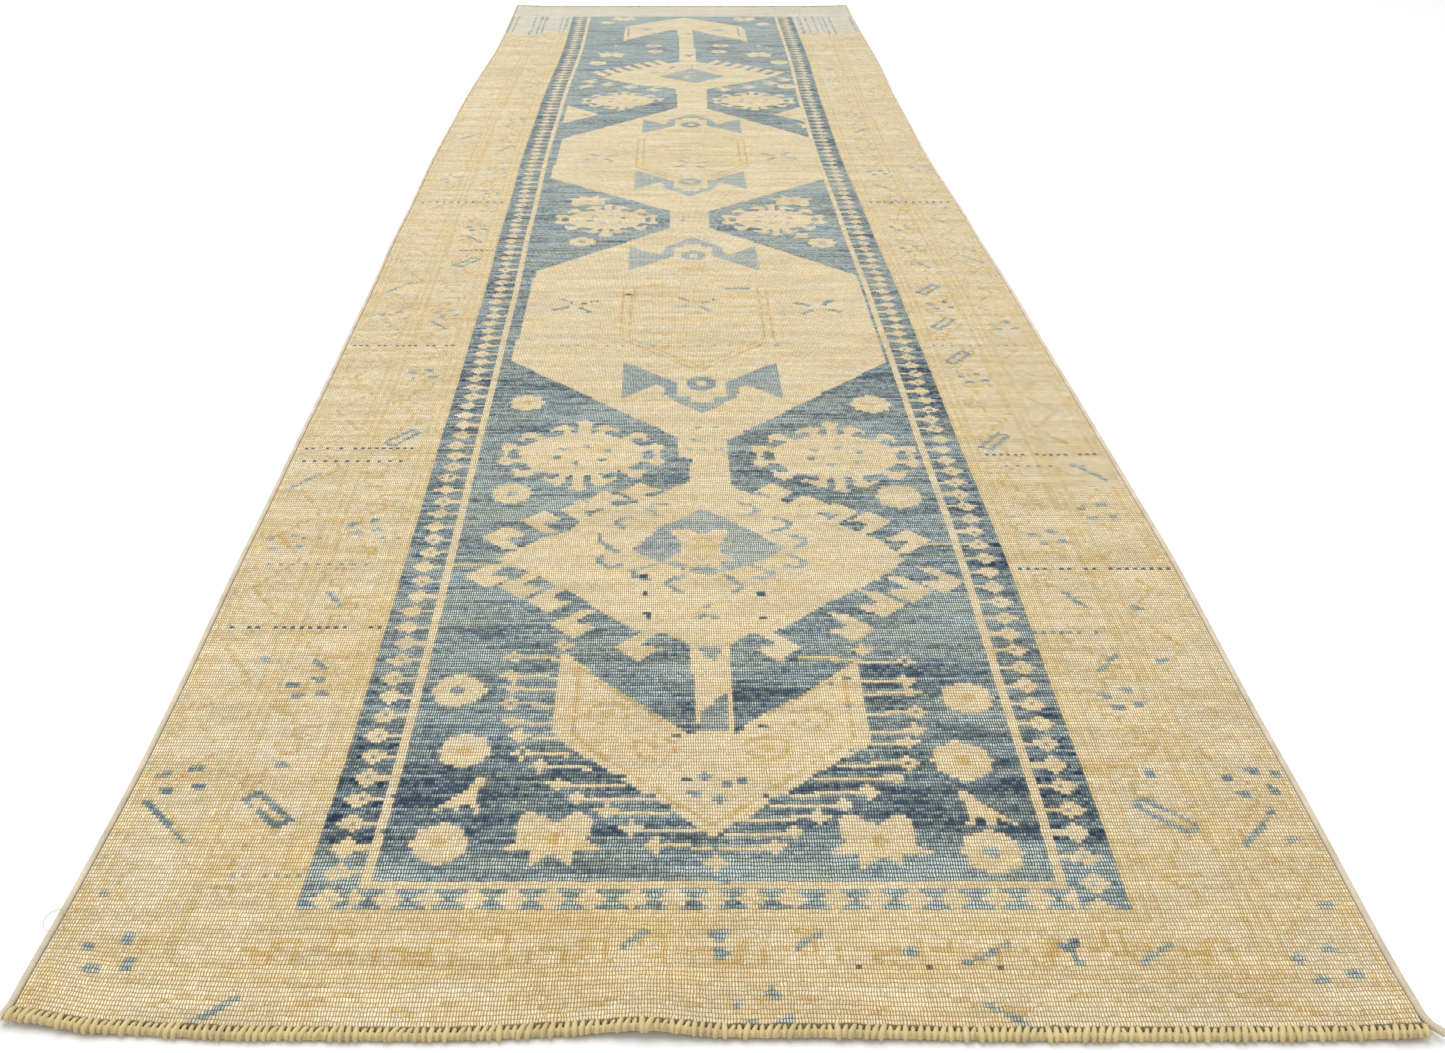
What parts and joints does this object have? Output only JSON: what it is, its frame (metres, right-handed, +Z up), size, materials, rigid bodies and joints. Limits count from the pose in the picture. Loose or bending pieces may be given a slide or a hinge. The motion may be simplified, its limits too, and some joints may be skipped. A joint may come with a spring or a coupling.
{
  "type": "runner rug",
  "caption": "Long narrow hand-knotted wool runner with an indigo field, ivory figures, patterned borders, wrapped selvedges and stitched ends.",
  "frame": {"origin": "on the floor, under the middle of the runner's box", "axes": "+Y along the length towards the plain far end, +X across, +Z up out of the pile"},
  "size_m": [0.9665, 3.9605, 0.0058],
  "materials": {
    "foundation_wool": "undyed ivory wool, plain woven, matt",
    "cord_wool": "twisted undyed wool warps, matt",
    "selvedge_wool": "grey-beige wool yarn wrapped in close turns, matt",
    "stitching_wool": "straw wool yarn in close whip stitches, matt",
    "ivory_pile": "worn ivory wool knots mottled with straw, soft sheen",
    "straw_pile": "worn straw-gold and ivory wool knots in thin lines, soft sheen",
    "cream_pile": "worn cream wool knots, soft sheen",
    "grey_ivory_pile": "worn grey-ivory wool knots, soft sheen",
    "blue_pile": "worn indigo wool knots in uneven dye streaks from navy to pale grey-blue, soft sheen",
    "pale_blue_pile": "worn pale grey-blue wool knots, soft sheen"
  },
  "bodies": {
    "root": {"blue_guard_pile": "blue_pile", "cream_line_pile": "cream_pile", "end_roll_far": "cord_wool", "end_roll_near": "cord_wool", "end_stitching_far": "stitching_wool", "end_stitching_near": "stitching_wool", "far_border_pile": "grey_ivory_pile", "far_diamond_lozenge_pile": "pale_blue_pile", "far_diamond_pile": "cream_pile", "far_finial_pile": "cream_pile", "far_hexagon_lower_horns_pile": "pale_blue_pile", "far_hexagon_pile": "cream_pile", "far_hexagon_upper_horns_pile": "pale_blue_pile", "far_neck_octagon_left_pile": "cream_pile", "far_neck_octagon_right_pile": "cream_pile", "far_neck_pile": "cream_pile", "far_pole_pile": "cream_pile", "far_pole_star_left_pile": "cream_pile", "far_pole_star_right_pile": "cream_pile", "far_star_left_pile": "cream_pile", "far_star_right_pile": "cream_pile", "field_far_pile": "blue_pile", "field_middle_left_pile": "blue_pile", "field_middle_right_pile": "blue_pile", "field_near_pile": "blue_pile", "foundation": "foundation_wool", "inner_guard_lines_pile": "straw_pile", "main_border_pile": "ivory_pile", "middle_neck_octagon_left_pile": "cream_pile", "middle_neck_octagon_right_pile": "cream_pile", "middle_neck_pile": "cream_pile", "near_diamond_lozenge_pile": "pale_blue_pile", "near_diamond_pile": "cream_pile", "near_finial_pile": "cream_pile", "near_hexagon_lower_horns_pile": "pale_blue_pile", "near_hexagon_pile": "cream_pile", "near_hexagon_upper_horns_pile": "pale_blue_pile", "near_neck_octagon_left_pile": "cream_pile", "near_neck_octagon_right_pile": "cream_pile", "near_neck_pile": "cream_pile", "near_pole_pile": "cream_pile", "near_star_left_pile": "cream_pile", "near_star_right_pile": "cream_pile", "outer_border_pile": "ivory_pile", "outer_guard_lines_pile": "straw_pile", "selvedge_cord_left": "cord_wool", "selvedge_cord_right": "cord_wool", "selvedge_wrap_left": "selvedge_wool", "selvedge_wrap_right": "selvedge_wool"}
  },
  "joints": []
}
